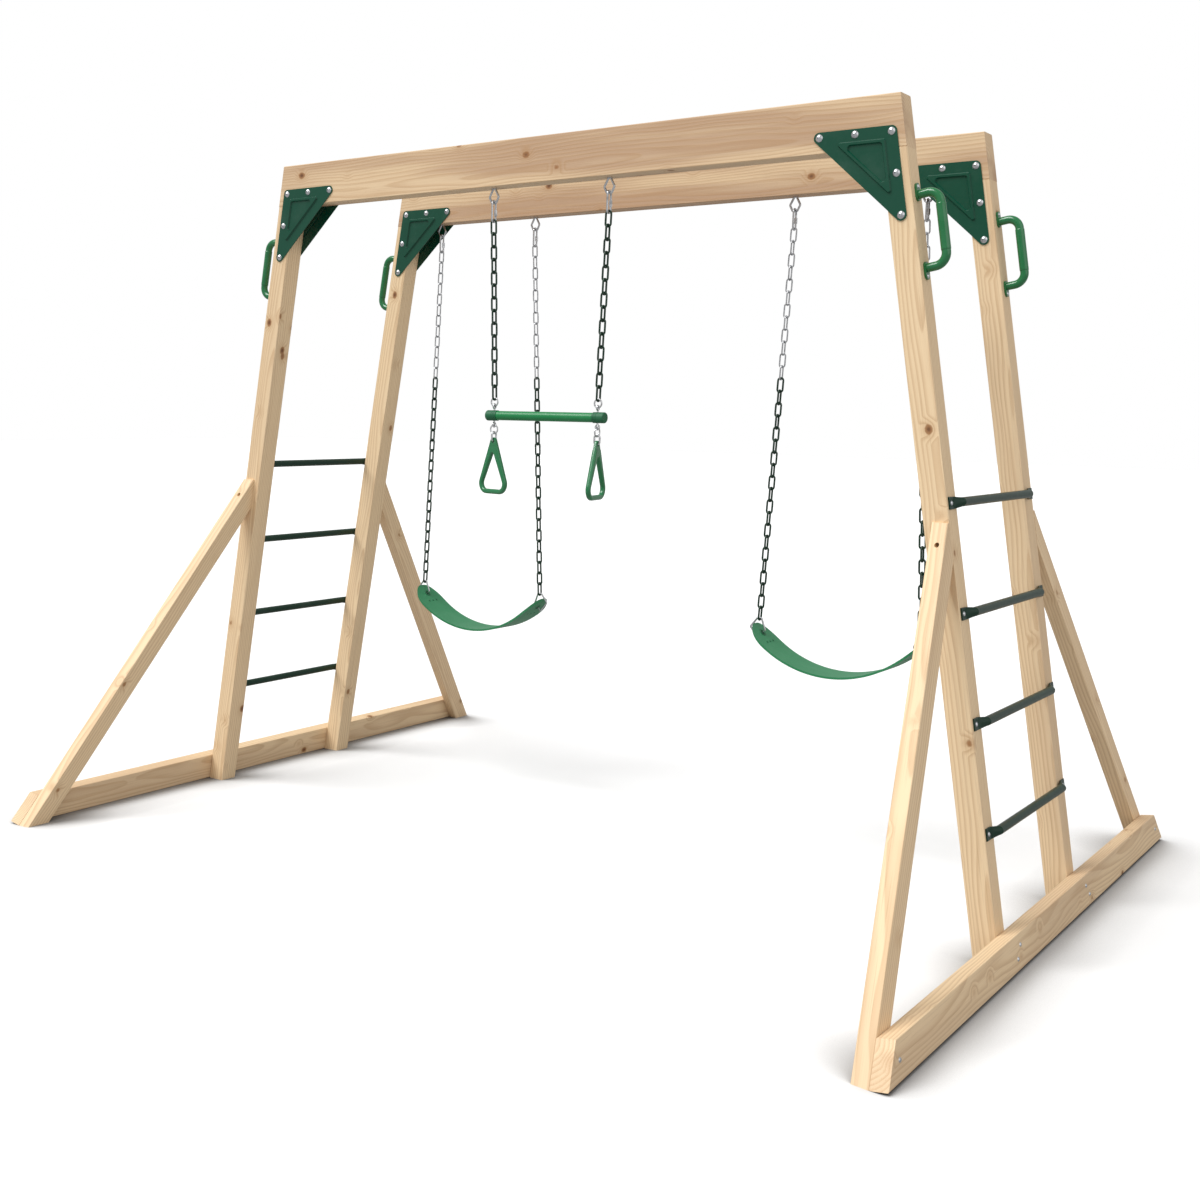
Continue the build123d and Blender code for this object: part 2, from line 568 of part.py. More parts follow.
def hand_ring():
    """Lower ring, strap and stirrup as they hang from a pin's eye whose bottom wire is at the origin.

    The ring lies in the XZ plane and swings about Y; the strap swings on it about X.
    """
    ring_top = PIN_RADIUS + LOWER_RING_WIRE + LINK_PLAY
    ring = Pos(0, 0, ring_top - LOWER_RING) * (Rot(90, 0, 0) * Torus(LOWER_RING, LOWER_RING_WIRE))
    hinge = ring_top - 2 * LOWER_RING
    strap_top = hinge + LOWER_RING_WIRE + STRAP_RADIUS + LINK_PLAY
    strap = Pos(0, 0, strap_top) * (Rot(0, 0, 90) * stadium(STRAP_LENGTH, STRAP_BEND, STRAP_RADIUS))
    inside = STRAP_BEND - STRAP_RADIUS
    edge_rise = STRAP_BEND - math.sqrt(inside**2 - (STIRRUP_TAB / 2) ** 2)  # where tab and bend would meet
    hole = strap_top - STRAP_LENGTH + edge_rise + LINK_PLAY - STIRRUP_HOLE
    return ring, strap, Pos(0, 0, hole), hinge


# ---------------------------------------------------------------- make every node
def make_frame():
    swing_eyes = [sign * SWING_MIDDLE + way * SWING_TOP_HALF for sign in (-1, 1) for way in (-1, 1)]
    trapeze_eyes = [-TRAPEZE_TOP_HALF, TRAPEZE_TOP_HALF]
    save("front_beam", beam(trapeze_eyes))
    save("rear_beam", to_row(beam(swing_eyes), "rear"))
    eye_places = [(x, BEAM_Y) for x in swing_eyes] + [(x, -BEAM_Y) for x in trapeze_eyes]
    save("eye_screws", *[Pos(x, y, HINGE_Z) * eye_screw() for x, y in eye_places])

    right_post = post()
    right_brace = brace()
    right_handle = grab_handle()
    plate = corner_plate()
    back_plate = mirror(plate, about=Plane.XZ)
    for side in SIDES:
        save(f"base_rail_{side}", to_side(base_rail(), side))
        for row in ROWS:
            save(f"post_{row}_{side}", to_row(to_side(right_post, side), row))
            save(f"brace_{row}_{side}", to_row(to_side(right_brace, side), row))
            save(f"grab_handle_{row}_{side}", to_row(to_side(right_handle, side), row))
            middle = -BEAM_Y if row == "front" else BEAM_Y
            front_place = Pos(0, middle - TIMBER / 2, 0)
            back_place = Pos(0, middle + TIMBER / 2, 0)
            save(f"plate_{row}_{side}_outer", to_side((front_place if row == "front" else back_place)
                                                      * (plate if row == "front" else back_plate), side))
            save(f"plate_{row}_{side}_inner", to_side((back_place if row == "front" else front_place)
                                                      * (back_plate if row == "front" else plate), side))
        for step, height in enumerate(RUNG_HEIGHTS, start=1):
            save(f"rung_{side}_{step}", to_side(rung(height), side))


def make_fasteners():
    bolts = []
    nuts = []
    for middle in (-BEAM_Y, BEAM_Y):
        for x, z in plate_bolt_places():
            for sign in SIDES.values():
                seat = Pos(sign * x, middle - TIMBER / 2 - PLATE_THICK, z)
                bolts.append(seat * dome_bolt())
                nuts.append(seat * bolt_nut())
    save("plate_bolts", *bolts)
    save("plate_nuts", *nuts)
    short = [face_screw(place, RUNG_TAB_THICK) for place in rung_screw_places()]
    short += [face_screw(place, PAD_THICK) for place in handle_screw_places()]
    short += [brace_screw()]
    long = [face_screw(place, RAIL_THICK, RAIL_SCREW_LENGTH) for place in rail_screw_places()]
    for name, screws in (("timber_screws", short), ("rail_screws", long)):
        save(name, *[to_row(to_side(screw, side), row) for screw in screws for side in SIDES for row in ROWS])


def make_swings():
    quicks, (zinc, coated), low = swing_hangers(SWING_TOP_HALF, SWING_RUNS, SWING_SEAT_HALF)
    seat_hinge = low + COATED_RADIUS + SHACKLE_RADIUS + LINK_PLAY
    hole_rise = belt_point(BELT_HALF - BELT_HOLE)[1]
    belt_low = seat_hinge - SHACKLE_RISE - hole_rise
    right_shackle = Pos(SWING_SEAT_HALF, 0, seat_hinge) * shackle()
    shackles = [right_shackle, mirror(right_shackle, about=Plane.YZ)]
    for side, sign in SIDES.items():
        place = Pos(sign * SWING_MIDDLE, BEAM_Y, 0)
        save(f"swing_{side}_quick_links", *[place * shape for shape in quicks])
        save(f"swing_{side}_zinc_chains", *[place * shape for shape in zinc])
        save(f"swing_{side}_coated_chains", *[place * shape for shape in coated])
        save(f"swing_{side}_shackles", *[place * shape for shape in shackles])
        save(f"swing_{side}_belt_seat", place * (Pos(0, 0, belt_low) * belt()))
    print("seat hinge", round(seat_hinge, 2), "belt low", round(belt_low, 2))


def make_trapeze():
    place = Pos(0, -BEAM_Y, 0)
    quicks, (coated,), low = swing_hangers(TRAPEZE_TOP_HALF, TRAPEZE_RUNS, TRAPEZE_PIN_HALF)
    ring_top = low + COATED_RADIUS + UPPER_RING_WIRE + LINK_PLAY
    pin_eye_top = ring_top - 2 * UPPER_RING + UPPER_RING_WIRE + PIN_RADIUS + LINK_PLAY
    bar_z = pin_eye_top - (BAR_RADIUS + PIN_NECK + PIN_RADIUS + 2 * PIN_BEND)
    eye_low = bar_z - (BAR_RADIUS + PIN_NECK + PIN_RADIUS + 2 * PIN_BEND)
    save("trapeze_quick_links", *[place * shape for shape in quicks])
    save("trapeze_chains", *[place * shape for shape in coated])
    upper = Rot(90, 0, 0) * Torus(UPPER_RING, UPPER_RING_WIRE)
    ends = [Pos(sign * TRAPEZE_PIN_HALF, 0, 0) for sign in (-1, 1)]
    save("trapeze_upper_rings", *[place * (end * (Pos(0, 0, ring_top - UPPER_RING) * upper)) for end in ends])
    at_bar = place * Pos(0, 0, bar_z)
    save("trapeze_bar", at_bar * bar_tube())
    save("trapeze_end_caps", at_bar * bar_cap(), at_bar * mirror(bar_cap(), about=Plane.YZ))
    save("trapeze_pins", at_bar * (ends[0] * pin(True)), at_bar * (ends[1] * pin(False)))
    for side, sign in SIDES.items():
        ring, strap, hole, hinge = hand_ring()
        quarter = 0 if side == "left" else 90
        at_eye = place * (Pos(sign * TRAPEZE_PIN_HALF, 0, eye_low) * Rot(0, 0, quarter))
        save(f"hand_ring_{side}_round_ring", at_eye * ring)
        turned = at_eye * Rot(0, 0, STIRRUP_TURNS[side] - quarter)
        save(f"hand_ring_{side}_strap", turned * strap)
        save(f"hand_ring_{side}_stirrup", turned * (hole * stirrup()))
        print(side, "ring hinge", round(eye_low, 2), "strap hinge", round(eye_low + hinge, 2))
    print("bar height", round(bar_z, 2))


os.makedirs("parts", exist_ok=True)
make_frame()
make_fasteners()
make_swings()
make_trapeze()
print("hinge height", HINGE_Z)
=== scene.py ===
import bmesh
import bpy
import math
from mathutils import Matrix, Vector


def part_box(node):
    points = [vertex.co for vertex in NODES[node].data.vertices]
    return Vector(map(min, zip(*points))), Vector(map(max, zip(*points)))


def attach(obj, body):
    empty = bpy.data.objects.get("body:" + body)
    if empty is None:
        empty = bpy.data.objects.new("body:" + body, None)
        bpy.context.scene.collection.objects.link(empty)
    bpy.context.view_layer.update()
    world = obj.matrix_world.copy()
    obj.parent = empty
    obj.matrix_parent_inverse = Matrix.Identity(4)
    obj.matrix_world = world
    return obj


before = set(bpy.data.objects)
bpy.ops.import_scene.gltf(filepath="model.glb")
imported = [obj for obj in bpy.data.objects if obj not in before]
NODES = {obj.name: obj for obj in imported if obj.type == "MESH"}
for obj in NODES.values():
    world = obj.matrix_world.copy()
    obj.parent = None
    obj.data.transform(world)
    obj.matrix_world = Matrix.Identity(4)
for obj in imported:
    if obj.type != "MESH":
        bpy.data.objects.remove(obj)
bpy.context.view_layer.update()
SIDES = {"left": -1, "right": 1}
ROWS = {"front": -1, "rear": 1}


# ---------------------------------------------------------------- sizes read from the frame, in metres
def size(node):
    low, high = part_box(node)
    return Vector(high) - Vector(low)


def middle(node):
    low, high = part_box(node)
    return (Vector(high) + Vector(low)) / 2


FLOOR_OUTER_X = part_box("post_front_right")[1][0]
BEAM_END_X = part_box("front_beam")[1][0]
BEAM_LOW_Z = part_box("front_beam")[0][2]
LEAN_SLOPE = (FLOOR_OUTER_X - BEAM_END_X) / BEAM_LOW_Z  # how far the end frames splay per metre down


# ---------------------------------------------------------------- node helpers
def put(tree, socket, value):
    """Links a socket to an input, or sets the input to a plain value."""
    if isinstance(value, bpy.types.NodeSocket):
        tree.links.new(value, socket)
    else:
        socket.default_value = value


def add(tree, kind, inputs=None, **settings):
    node = tree.nodes.new(kind)
    for name, value in settings.items():
        setattr(node, name, value)
    for name, value in (inputs or {}).items():
        put(tree, node.inputs[name], value)
    return node


def maths(tree, operation, first, second=0.0):
    node = add(tree, "ShaderNodeMath", operation=operation)
    put(tree, node.inputs[0], first)
    put(tree, node.inputs[1], second)
    return node.outputs[0]


def plus(tree, first, second):
    return maths(tree, "ADD", first, second)


def times(tree, first, second):
    return maths(tree, "MULTIPLY", first, second)


def smooth(tree, value, start, end):
    """0 before start, 1 after end, with a soft step between. start may be above end."""
    low, high = min(start, end), max(start, end)
    node = add(tree, "ShaderNodeMapRange", {"Value": value, "From Min": low, "From Max": high},
               interpolation_type="SMOOTHSTEP", clamp=True)
    if start > end:
        node.inputs["To Min"].default_value = 1.0
        node.inputs["To Max"].default_value = 0.0
    return node.outputs[0]


MIX_FACTOR = 0  # a Mix node's sockets share their names, so the ones for colours are reached by number
MIX_FIRST = 6
MIX_SECOND = 7
MIX_RESULT = 2


def mix(tree, factor, first, second):
    node = add(tree, "ShaderNodeMix", data_type="RGBA")
    put(tree, node.inputs[MIX_FACTOR], factor)
    put(tree, node.inputs[MIX_FIRST], first)
    put(tree, node.inputs[MIX_SECOND], second)
    return node.outputs[MIX_RESULT]


def tint(tree, colour, mask, marking):
    """Shows a marking, given as (colour, strength), where the mask is 1."""
    towards, strength = marking
    return mix(tree, times(tree, mask, strength), colour, towards)


def noise(tree, vector, scale, detail, rough):
    inputs = {"Vector": vector, "Scale": scale, "Detail": detail, "Roughness": rough}
    return add(tree, "ShaderNodeTexNoise", inputs).outputs["Fac"]


def stretched(tree, vector, scale):
    return add(tree, "ShaderNodeMapping", {"Vector": vector, "Scale": scale}).outputs[0]


def long_noise(tree, vector, scale, detail, rough):
    """Noise with its own scale along each axis."""
    return noise(tree, stretched(tree, vector, scale), 1.0, detail, rough)


def bump(tree, height, distance, strength):
    inputs = {"Height": height, "Distance": distance, "Strength": strength}
    return add(tree, "ShaderNodeBump", inputs).outputs[0]


def group(name, **inputs):
    """A new node group with these named inputs, which gives a surface's colour, roughness and normal."""
    tree = bpy.data.node_groups.new(name, "ShaderNodeTree")
    for label, kind in inputs.items():
        tree.interface.new_socket(label, in_out="INPUT", socket_type=kind)
    for label, kind in (("Color", COLOUR), ("Roughness", NUMBER), ("Normal", VECTOR)):
        tree.interface.new_socket(label, in_out="OUTPUT", socket_type=kind)
    return tree, tree.nodes.new("NodeGroupInput").outputs


def finish_group(tree, **results):
    out = tree.nodes.new("NodeGroupOutput")
    for name, value in results.items():
        put(tree, out.inputs[name], value)
    return tree


def rgb(red, green, blue):
    return (red, green, blue, 1.0)


def grey(level):
    return rgb(level, level, level)


COLOUR = "NodeSocketColor"
NUMBER = "NodeSocketFloat"
VECTOR = "NodeSocketVector"

# In each section below, a marking is (colour, strength), a name with SHOWS, EDGE, DARKENS or ENDS is
# where a mask goes from 0 to 1, a NOISE is (scale, detail, roughness), and a BUMP is (depth in metres,
# strength).

# ---------------------------------------------------------------- planed softwood
SAPWOOD = rgb(0.90, 0.685, 0.430)
HEARTWOOD = rgb(0.535, 0.350, 0.220)
LATE_RING = (rgb(0.46, 0.25, 0.105), 0.36)
STREAK = (rgb(0.80, 0.62, 0.40), 0.28)
FIBRE = (rgb(0.38, 0.22, 0.10), 0.34)
SWIRL = (rgb(0.48, 0.26, 0.11), 0.35)
KNOT = (rgb(0.33, 0.145, 0.05), 0.85)
KNOT_CORE = (rgb(0.12, 0.045, 0.018), 0.80)

KNOT_CELLS = 10.5  # cells per metre, of which some hold a knot
KNOT_STRETCH = (0.75, 1.0, 1.0)  # and the cells are longer along the grain
KNOT_PICK = (0.36, 0.40)  # a cell whose random number is above this holds one
KNOT_EDGE = (0.150, 0.110)  # distance from the knot's middle, in cells, where it begins and is full
CORE_EDGE = (0.110, 0.04)
SWIRL_EDGE = (0.36, 0.05)  # the grain bends round the knot inside this
RAGGED_NOISE = (160.0, 2.0, 0.5)
RAGGED_AMOUNT = 0.03  # how uneven the knot's edge is

RINGS_PER_METRE = 105.0
LOG_MIDDLE_Y = 0.055  # from the board's middle line to the log's, in Y and Z
LOG_MIDDLE_Z = 0.03
RING_DARKENS = (0.25, 0.88)  # within a ring, 0 to 1
RING_ENDS = (1.0, 0.90)
DRIFT_NOISE = ((1.2, 6.0, 6.0), 2.0, 0.5)  # the rings wander slowly along the board
DRIFT_AMOUNT = 0.075
SWIRL_AMOUNT = 0.02

FIBRE_NOISE = ((5.0, 420.0, 420.0), 4.0, 0.65)
FIBRE_SHOWS = (0.50, 0.75)
STREAK_NOISE = ((1.6, 48.0, 48.0), 3.0, 0.6)
STREAK_SHOWS = (0.45, 0.72)
PATCH_NOISE = ((0.8, 9.0, 9.0), 2.0, 0.5)  # broad patches where the heartwood is paler
PATCH_SHOWS = (0.42, 0.62)
PATCH_LOW = 0.35  # how much of its colour is left there

TIMBER_ROUGH = 0.50
FIBRE_ROUGH = 0.18
FIBRE_HEIGHT = 0.5
RING_HEIGHT = 0.4
CORE_SUNK = 0.8
TIMBER_BUMP = (0.0005, 0.7)


def timber_group():
    """Softwood. The vector is in metres, with the board's middle line and its grain along X."""
    tree, given = group("Softwood", Vector=VECTOR, Heart=NUMBER)
    place = given["Vector"]

    long_place = stretched(tree, place, KNOT_STRETCH)
    cells = add(tree, "ShaderNodeTexVoronoi", {"Vector": long_place, "Scale": KNOT_CELLS})
    pick = add(tree, "ShaderNodeSeparateColor", {"Color": cells.outputs["Color"]}).outputs[0]
    rare = smooth(tree, pick, *KNOT_PICK)
    ragged = times(tree, noise(tree, place, *RAGGED_NOISE), RAGGED_AMOUNT)
    span = plus(tree, cells.outputs["Distance"], ragged)
    knot = times(tree, smooth(tree, span, *KNOT_EDGE), rare)
    core = times(tree, smooth(tree, span, *CORE_EDGE), rare)
    swirl = times(tree, smooth(tree, span, *SWIRL_EDGE), rare)

    drift = times(tree, long_noise(tree, place, *DRIFT_NOISE), DRIFT_AMOUNT)
    warp = plus(tree, drift, times(tree, swirl, SWIRL_AMOUNT))
    parts = add(tree, "ShaderNodeSeparateXYZ", {"Vector": place})
    across = add(tree, "ShaderNodeCombineXYZ", {
        "X": 0.0,
        "Y": plus(tree, parts.outputs[1], LOG_MIDDLE_Y),
        "Z": plus(tree, parts.outputs[2], LOG_MIDDLE_Z),
    })
    radius = add(tree, "ShaderNodeVectorMath", {0: across.outputs[0]}, operation="LENGTH").outputs["Value"]
    rings = maths(tree, "FRACT", times(tree, plus(tree, radius, warp), RINGS_PER_METRE))
    late = times(tree, smooth(tree, rings, *RING_DARKENS), smooth(tree, rings, *RING_ENDS))

    fibres = long_noise(tree, place, *FIBRE_NOISE)
    streaks = long_noise(tree, place, *STREAK_NOISE)
    broad = smooth(tree, long_noise(tree, place, *PATCH_NOISE), *PATCH_SHOWS)
    patches = plus(tree, PATCH_LOW, times(tree, broad, 1.0 - PATCH_LOW))

    colour = mix(tree, times(tree, patches, given["Heart"]), SAPWOOD, HEARTWOOD)
    colour = tint(tree, colour, late, LATE_RING)
    colour = tint(tree, colour, smooth(tree, streaks, *STREAK_SHOWS), STREAK)
    colour = tint(tree, colour, smooth(tree, fibres, *FIBRE_SHOWS), FIBRE)
    colour = tint(tree, colour, swirl, SWIRL)
    colour = tint(tree, colour, knot, KNOT)
    colour = tint(tree, colour, core, KNOT_CORE)

    roughness = plus(tree, TIMBER_ROUGH, times(tree, fibres, FIBRE_ROUGH))
    height = plus(tree, times(tree, fibres, FIBRE_HEIGHT), times(tree, late, RING_HEIGHT))
    height = maths(tree, "SUBTRACT", height, times(tree, core, CORE_SUNK))
    return finish_group(tree, Color=colour, Roughness=roughness, Normal=bump(tree, height, *TIMBER_BUMP))


# ---------------------------------------------------------------- powder-coated steel
COAT_PEEL_NOISE = (900.0, 1.0, 0.5)
COAT_PEEL_BUMP = (0.00008, 0.6)
COAT_DUST = (rgb(0.28, 0.34, 0.30), 0.06)
COAT_DUST_NOISE = (7.0, 5.0, 0.65)
COAT_DUST_SHOWS = (0.50, 0.78)
COAT_RUB = (rgb(0.10, 0.24, 0.19), 0.12)
COAT_RUB_NOISE = (85.0, 4.0, 0.7)
COAT_RUB_SHOWS = (0.62, 0.80)
COAT_RUB_ROUGH = 0.16


def coat_group():
    """Orange peel, faint dust and rubbed spots."""
    tree, given = group("Powder coat", Vector=VECTOR, Base=COLOUR, Gloss=NUMBER)
    place = given["Vector"]
    peel = noise(tree, place, *COAT_PEEL_NOISE)
    dust = noise(tree, place, *COAT_DUST_NOISE)
    rubs = noise(tree, place, *COAT_RUB_NOISE)
    colour = tint(tree, given["Base"], smooth(tree, dust, *COAT_DUST_SHOWS), COAT_DUST)
    colour = tint(tree, colour, smooth(tree, rubs, *COAT_RUB_SHOWS), COAT_RUB)
    roughness = plus(tree, given["Gloss"], times(tree, rubs, COAT_RUB_ROUGH))
    return finish_group(tree, Color=colour, Roughness=roughness, Normal=bump(tree, peel, *COAT_PEEL_BUMP))


# ---------------------------------------------------------------- moulded or dipped plastic
FLOW_NOISE = (16.0, 3.0, 0.5)
FLOW_SHOWS = (0.40, 0.70)
FLOW_STRENGTH = 0.07
SCUFF_NOISE = ((30.0, 260.0, 260.0), 4.0, 0.7)
SCUFF_SHOWS = (0.62, 0.80)
SCUFF_STRENGTH = 0.12
SCUFF_ROUGH = 0.22
SCUFF_HEIGHT = 0.1
SKIN_NOISE = (1400.0, 2.0, 0.5)
SKIN_BUMP = (0.0001, 0.8)
WORN_PLASTIC = rgb(0.30, 0.55, 0.38)
WORN_SHARE = 0.5  # a mark's colour lies this far from the base colour to that


def moulded_group():
    """Slight flow marks, scuffs and a fine skin."""
    tree, given = group("Moulded plastic", Vector=VECTOR, Base=COLOUR, Gloss=NUMBER, Skin=NUMBER)
    place = given["Vector"]
    flow = noise(tree, place, *FLOW_NOISE)
    scuffs = long_noise(tree, place, *SCUFF_NOISE)
    skin = noise(tree, place, *SKIN_NOISE)
    lighter = mix(tree, WORN_SHARE, given["Base"], WORN_PLASTIC)
    colour = tint(tree, given["Base"], smooth(tree, flow, *FLOW_SHOWS), (lighter, FLOW_STRENGTH))
    colour = tint(tree, colour, smooth(tree, scuffs, *SCUFF_SHOWS), (lighter, SCUFF_STRENGTH))
    roughness = plus(tree, given["Gloss"], times(tree, scuffs, SCUFF_ROUGH))
    height = plus(tree, times(tree, skin, given["Skin"]), times(tree, scuffs, SCUFF_HEIGHT))
    return finish_group(tree, Color=colour, Roughness=roughness, Normal=bump(tree, height, *SKIN_BUMP))


# ---------------------------------------------------------------- zinc plate
DARK_ZINC = rgb(0.30, 0.31, 0.33)
BRIGHT_ZINC = rgb(0.72, 0.73, 0.75)
DULL_ZINC = (rgb(0.16, 0.17, 0.18), 0.55)
DULL_NOISE = (60.0, 4.0, 0.6)
DULL_SHOWS = (0.45, 0.75)
SPANGLE_SCALE = 420.0
SPANGLE_BUMP = (0.00006, 0.5)
ZINC_ROUGH = 0.16
DULL_ROUGH = 0.26


def zinc_group():
    """Its faint spangle, dulled in patches."""
    tree, given = group("Zinc plate", Vector=VECTOR, Bright=NUMBER)
    place = given["Vector"]
    spangle = add(tree, "ShaderNodeTexVoronoi", {"Vector": place, "Scale": SPANGLE_SCALE})
    dull = noise(tree, place, *DULL_NOISE)
    base = mix(tree, given["Bright"], DARK_ZINC, BRIGHT_ZINC)
    colour = tint(tree, base, smooth(tree, dull, *DULL_SHOWS), DULL_ZINC)
    roughness = plus(tree, ZINC_ROUGH, times(tree, dull, DULL_ROUGH))
    normal = bump(tree, spangle.outputs["Distance"], *SPANGLE_BUMP)
    return finish_group(tree, Color=colour, Roughness=roughness, Normal=normal)


SOFTWOOD = timber_group()
POWDER_COAT = coat_group()
MOULDED = moulded_group()
ZINC = zinc_group()


# ---------------------------------------------------------------- materials
def material(name, shared, inputs, principled, turn=None, shift=(0.0, 0.0, 0.0)):
    """A Principled material fed by one shared effect, its coordinates turned and shifted for one piece."""
    made = bpy.data.materials.new(name)
    made.use_nodes = True
    tree = made.node_tree
    shader = tree.nodes["Principled BSDF"]
    place = add(tree, "ShaderNodeTexCoord").outputs["Object"]
    mapping = add(tree, "ShaderNodeMapping", {"Vector": place, "Location": shift})
    if turn is not None:
        mapping.inputs["Rotation"].default_value = turn
    effect = add(tree, "ShaderNodeGroup", node_tree=shared)
    put(tree, effect.inputs["Vector"], mapping.outputs[0])
    for label, value in inputs.items():
        put(tree, effect.inputs[label], value)
    for label, output in (("Base Color", "Color"), ("Roughness", "Roughness"), ("Normal", "Normal")):
        tree.links.new(effect.outputs[output], shader.inputs[label])
    for label, value in principled.items():
        shader.inputs[label].default_value = value
    return made


def dress(node, made):
    """Gives a CAD node its material."""
    mesh = NODES[node].data
    mesh.materials.clear()
    mesh.materials.append(made)


# Each board's share of heartwood, 0 to 1.
BEAM_HEARTS = {"front_beam": 0.95, "rear_beam": 1.0}
RAIL_HEART = 0.42
POST_HEARTS = (0.12, 0.24, 0.36)
BRACE_HEARTS = (0.20, 0.32)
BOARD_APART = 3.7  # metres along the grain from one board's pattern to the next board's
TIMBER_SPECULAR = 0.35
FRONT_TO_REAR = 0.9  # a board whose direction has more Y than this runs front to rear


def timber(node, along, heart, number):
    """One board's own material, its grain along the given direction."""
    forward = Vector(along).normalized()
    side = Vector((0, 1, 0)) if abs(forward.y) < FRONT_TO_REAR else Vector((1, 0, 0))
    up = forward.cross(side).normalized()
    side = up.cross(forward)
    axes = Matrix((forward, side, up))
    centre = axes @ middle(node)
    shift = (BOARD_APART * number, -centre.y, -centre.z)
    principled = {"Specular IOR Level": TIMBER_SPECULAR}
    turn = axes.to_euler()
    dress(node, material(f"softwood_{node}", SOFTWOOD, {"Heart": heart}, principled, turn, shift))


def dress_timber():
    number = 1
    for node, heart in BEAM_HEARTS.items():
        timber(node, (1, 0, 0), heart, number)
        number += 1
    for side, way in SIDES.items():
        timber(f"base_rail_{side}", (0, 1, 0), RAIL_HEART, number)
        number += 1
        for row, depth in ROWS.items():
            post_heart = POST_HEARTS[number % len(POST_HEARTS)]
            timber(f"post_{row}_{side}", (-way * LEAN_SLOPE, 0, 1), post_heart, number)
            extent = size(f"brace_{row}_{side}")
            along = (-way * LEAN_SLOPE * extent.z, -depth * extent.y, extent.z)
            brace_heart = BRACE_HEARTS[number % len(BRACE_HEARTS)]
            timber(f"brace_{row}_{side}", along, brace_heart, number + 1)
            number += 2


def coated(name, base, gloss, specular):
    return material(name, POWDER_COAT, {"Base": base, "Gloss": gloss}, {"Specular IOR Level": specular})


def zinced(name, bright):
    return material(name, ZINC, {"Bright": bright}, {"Metallic": 1.0})


def moulded(name, base, gloss, skin, clear_coat):
    inputs = {"Base": base, "Gloss": gloss, "Skin": skin}
    return material(name, MOULDED, inputs, {"Coat Weight": clear_coat})


COATED = {  # base colour, gloss and specular level
    "green_plate": (rgb(0.0015, 0.064, 0.034), 0.24, 0.4),
    "green_rung": (rgb(0.001, 0.026, 0.013), 0.26, 0.3),
}
ZINCED = {  # brightness
    "zinc_fasteners": 0.8,
    "zinc_links": 0.65,
    "bright_wire": 1.0,
}
MOULDINGS = {  # base colour, gloss, skin and clear coat
    "chain_coat": (rgb(0.002, 0.026, 0.012), 0.22, 0.2, 0.0),
    "green_handle": (rgb(0.002, 0.150, 0.040), 0.14, 0.15, 0.4),
    "green_bar": (rgb(0.003, 0.205, 0.055), 0.22, 0.3, 0.0),
    "green_cap": (rgb(0.003, 0.115, 0.042), 0.42, 0.8, 0.0),
    "green_stirrup": (rgb(0.006, 0.165, 0.052), 0.14, 0.15, 0.4),
    "green_belt": (rgb(0.022, 0.225, 0.088), 0.34, 0.8, 0.0),
}


def make_finishes():
    """Every finish but the timber, by name."""
    made = {name: coated(name, *values) for name, values in COATED.items()}
    made.update({name: zinced(name, bright) for name, bright in ZINCED.items()})
    made.update({name: moulded(name, *values) for name, values in MOULDINGS.items()})
    return made


# A node takes the first finish that its name's start has here, or else the one that its ending has.
FINISH_BY_START = (
    ("plate_bolts", "zinc_fasteners"),
    ("plate_nuts", "zinc_fasteners"),
    ("timber_screws", "zinc_fasteners"),
    ("rail_screws", "zinc_fasteners"),
    ("eye_screws", "zinc_fasteners"),
    ("plate_", "green_plate"),
    ("rung_", "green_rung"),
    ("grab_handle_", "green_handle"),
    ("trapeze_bar", "green_bar"),
    ("trapeze_end_caps", "green_cap"),
    ("trapeze_chains", "chain_coat"),
    ("trapeze_quick_links", "zinc_fasteners"),
    ("trapeze_", "bright_wire"),
)
FINISH_BY_ENDING = (
    ("_quick_links", "zinc_fasteners"),
    ("_zinc_chains", "zinc_links"),
    ("_coated_chains", "chain_coat"),
    ("_shackles", "zinc_fasteners"),
    ("_belt_seat", "green_belt"),
    ("_round_ring", "bright_wire"),
    ("_strap", "bright_wire"),
    ("_stirrup", "green_stirrup"),
)


def dress_metal_and_plastic(finishes):
    for node in NODES:
        found = [name for start, name in FINISH_BY_START if node.startswith(start)]
        found += [name for ending, name in FINISH_BY_ENDING if node.endswith(ending)]
        if found:
            dress(node, finishes[found[0]])


# ---------------------------------------------------------------- small pieces the frame leaves out
LATHE_STEPS = 32


def lathe(name, profile, centre, axis, made, body):
    """A turned piece: profile points (radius, height) spun round an axis through centre."""
    mesh = bmesh.new()
    angles = [2 * math.pi * step / LATHE_STEPS for step in range(LATHE_STEPS)]
    loops = []
    for radius, height in profile:
        if radius == 0:
            loops.append([mesh.verts.new((0, 0, height))] * LATHE_STEPS)
            continue
        loops.append([mesh.verts.new((radius * math.cos(a), radius * math.sin(a), height)) for a in angles])
    for low, high in zip(loops, loops[1:]):
        for step in range(LATHE_STEPS):
            corners = [low[step], low[step - 1], high[step - 1], high[step]]
            face = mesh.faces.new(list(dict.fromkeys(corners)))
            face.smooth = True
    bmesh.ops.recalc_face_normals(mesh, faces=mesh.faces)
    mesh.transform(Matrix.Translation(centre) @ Vector(axis).to_track_quat("Z", "Y").to_matrix().to_4x4())
    data = bpy.data.meshes.new(name)
    mesh.to_mesh(data)
    mesh.free()
    data.materials.append(made)
    piece = bpy.data.objects.new(name, data)
    bpy.context.scene.collection.objects.link(piece)
    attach(piece, body)


def both_faces(profile):
    """A profile over one face of a sheet, carried on to its mirror image over the other."""
    return profile + [(radius, -height) for radius, height in reversed(profile)]


